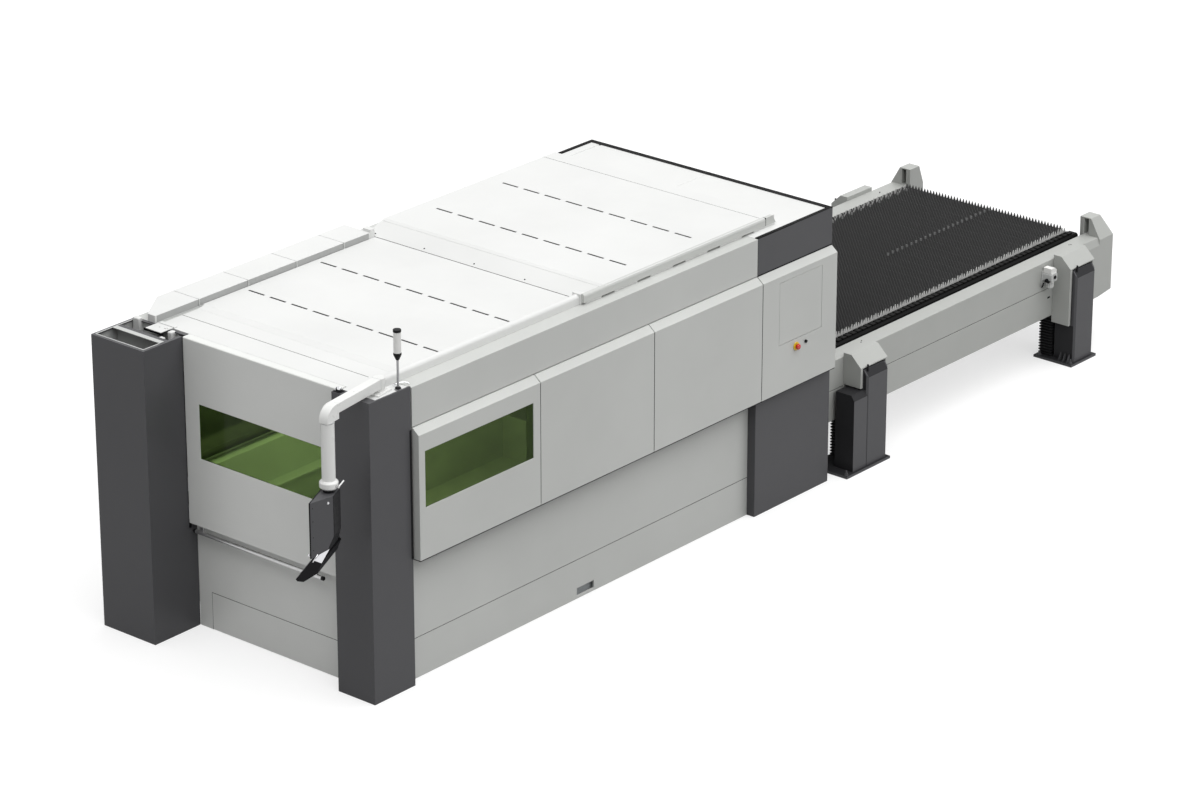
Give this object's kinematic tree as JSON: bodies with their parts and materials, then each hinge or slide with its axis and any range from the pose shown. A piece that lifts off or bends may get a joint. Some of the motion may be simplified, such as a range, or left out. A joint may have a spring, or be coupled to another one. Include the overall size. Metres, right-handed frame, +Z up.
{
  "type": "fiber laser cutting machine",
  "caption": "Enclosed flat-bed laser cutter with a lift door, green safety windows, a swinging operator console and a lifting shuttle table with toothed slat pallets.",
  "frame": {"origin": "on the floor, in the middle of the whole footprint", "axes": "+X from the operator's door to the shuttle table, +Y across to the machine's left side as seen from the door looking along +X, +Z up"},
  "size_m": [9.4916, 2.514, 2.618],
  "materials": {
    "light_paint": "satin powder coat",
    "dark_paint": "glossy powder coat",
    "frame_paint": "matt structural paint",
    "steel": "ground",
    "slat_steel": "laser-cut, heat-stained",
    "iron": "as cast",
    "bright_metal": "polished",
    "safety_glass": "green laser-safe sheet",
    "bellows": "matt pleated",
    "white_plastic": "translucent white",
    "black_plastic": "fine texture",
    "grey_plastic": "fine texture",
    "screen": "glossy",
    "red_plastic": "smooth",
    "yellow_plastic": "smooth",
    "aluminium": "anodised"
  },
  "bodies": {
    "machine": {"bed_frame": "frame_paint", "scrap_tray": "steel", "gantry_rails": "steel", "lower_side_walls": "light_paint", "skirts": "light_paint", "upper_side_walls": "light_paint", "side_panel_front": "light_paint", "side_panels_middle": "light_paint", "side_panel_rear": "light_paint", "side_panels_left": "light_paint", "side_window": "safety_glass", "rear_columns": "dark_paint", "rear_upper_panels": "dark_paint", "rear_lintel": "dark_paint", "pillar_left": "dark_paint", "pillar_right": "dark_paint", "door_guide_rails": "steel", "front_lower_panel": "light_paint", "front_lower_cover": "light_paint", "front_roof_beam": "light_paint", "front_roof_cover": "light_paint", "rear_roof_cover": "light_paint", "rear_roof_panel": "light_paint", "roof_rails": "light_paint", "lamp_stem": "bright_metal", "lamp_body": "white_plastic", "lamp_ends": "black_plastic", "arm_pivot_base": "light_paint", "estop_ring": "yellow_plastic", "lift_posts": "dark_paint", "lift_bellows": "bellows"},
    "door": {"door_panel": "light_paint", "door_window": "safety_glass", "door_handle": "bright_metal", "door_carriages": "steel"},
    "counterweight": {"counterweight": "iron"},
    "arm": {"console_arm": "light_paint", "swivel_collar": "light_paint"},
    "clamp_lever": {"clamp_lever": "black_plastic"},
    "console": {"console_housing": "dark_paint", "console_screen": "screen", "console_tray": "black_plastic"},
    "hatch": {"control_hatch": "light_paint"},
    "estop": {"estop_button": "red_plastic"},
    "start": {"start_button": "black_plastic"},
    "gate": {"rear_gate": "light_paint"},
    "gantry": {"gantry_beam": "frame_paint", "gantry_trucks": "steel"},
    "carriage": {"cutting_carriage": "grey_plastic"},
    "head": {"cutting_head": "aluminium"},
    "changer": {"shuttle_beams": "light_paint", "end_housings": "light_paint", "lift_brackets": "light_paint", "changer_ties": "frame_paint", "air_unit": "aluminium", "lower_pallet": "dark_paint"},
    "pallet": {"pallet_frame": "dark_paint", "pallet_slats": "slat_steel"},
    "wheels_front": {"wheelset_front": "steel"},
    "wheels_rear": {"wheelset_rear": "steel"}
  },
  "joints": [
    {"name": "door_lift", "type": "slide", "parent": "machine", "child": "door", "axis": [0, 0, 1], "range_m": [0, 1]},
    {"name": "counterweight_drop", "type": "slide", "parent": "machine", "child": "counterweight", "axis": [0, 0, 1], "range_m": [-1, 0]},
    {"name": "arm_swing", "type": "hinge", "parent": "machine", "child": "arm", "pos_m": [-3.89823, -1.043, 2.222], "axis": [0, 0, 1], "range_deg": [-10, 90]},
    {"name": "console_swivel", "type": "hinge", "parent": "arm", "child": "console", "pos_m": [-4.48517, -1.12758, 1.71], "axis": [0, 0, 1], "range_deg": [-30, 60]},
    {"name": "clamp_lever_turn", "type": "hinge", "parent": "arm", "child": "clamp_lever", "pos_m": [-4.48517, -1.202, 1.741], "axis": [0, 1, 0], "range_deg": [-30, 30]},
    {"name": "hatch_open", "type": "hinge", "parent": "machine", "child": "hatch", "pos_m": [0.17427, -1.214, 1.557], "axis": [0, 0, -1], "range_deg": [0, 110]},
    {"name": "estop_press", "type": "slide", "parent": "machine", "child": "estop", "axis": [0, 1, 0], "range_m": [0, 0.005], "stiffness_N_per_m": 400},
    {"name": "start_press", "type": "slide", "parent": "machine", "child": "start", "axis": [0, 1, 0], "range_m": [0, 0.004], "stiffness_N_per_m": 300},
    {"name": "gate_close", "type": "slide", "parent": "machine", "child": "gate", "axis": [0, 0, -1], "range_m": [0, 0.3]},
    {"name": "gantry_x", "type": "slide", "parent": "machine", "child": "gantry", "axis": [1, 0, 0], "range_m": [-3, 0]},
    {"name": "carriage_y", "type": "slide", "parent": "gantry", "child": "carriage", "axis": [0, 1, 0], "range_m": [-0.78, 0.78]},
    {"name": "head_z", "type": "slide", "parent": "carriage", "child": "head", "axis": [0, 0, 1], "range_m": [0, 0.12]},
    {"name": "changer_lift", "type": "slide", "parent": "machine", "child": "changer", "axis": [0, 0, 1], "range_m": [0, 0.3], "deforming": ["lift_bellows"]},
    {"name": "pallet_travel", "type": "slide", "parent": "changer", "child": "pallet", "axis": [1, 0, 0], "range_m": [-4.85, 0]},
    {"name": "wheels_front_spin", "type": "hinge", "parent": "pallet", "child": "wheels_front", "pos_m": [1.66177, 0, 0.75], "axis": [0, 1, 0], "continuous": true},
    {"name": "wheels_rear_spin", "type": "hinge", "parent": "pallet", "child": "wheels_rear", "pos_m": [4.06177, 0, 0.75], "axis": [0, 1, 0], "continuous": true}
  ],
  "couplings": [
    {"joint": "counterweight_drop", "follows": "door_lift", "ratio": -1},
    {"joint": "wheels_front_spin", "follows": "pallet_travel", "rad_per_m": 20.202},
    {"joint": "wheels_rear_spin", "follows": "pallet_travel", "rad_per_m": 20.202}
  ]
}
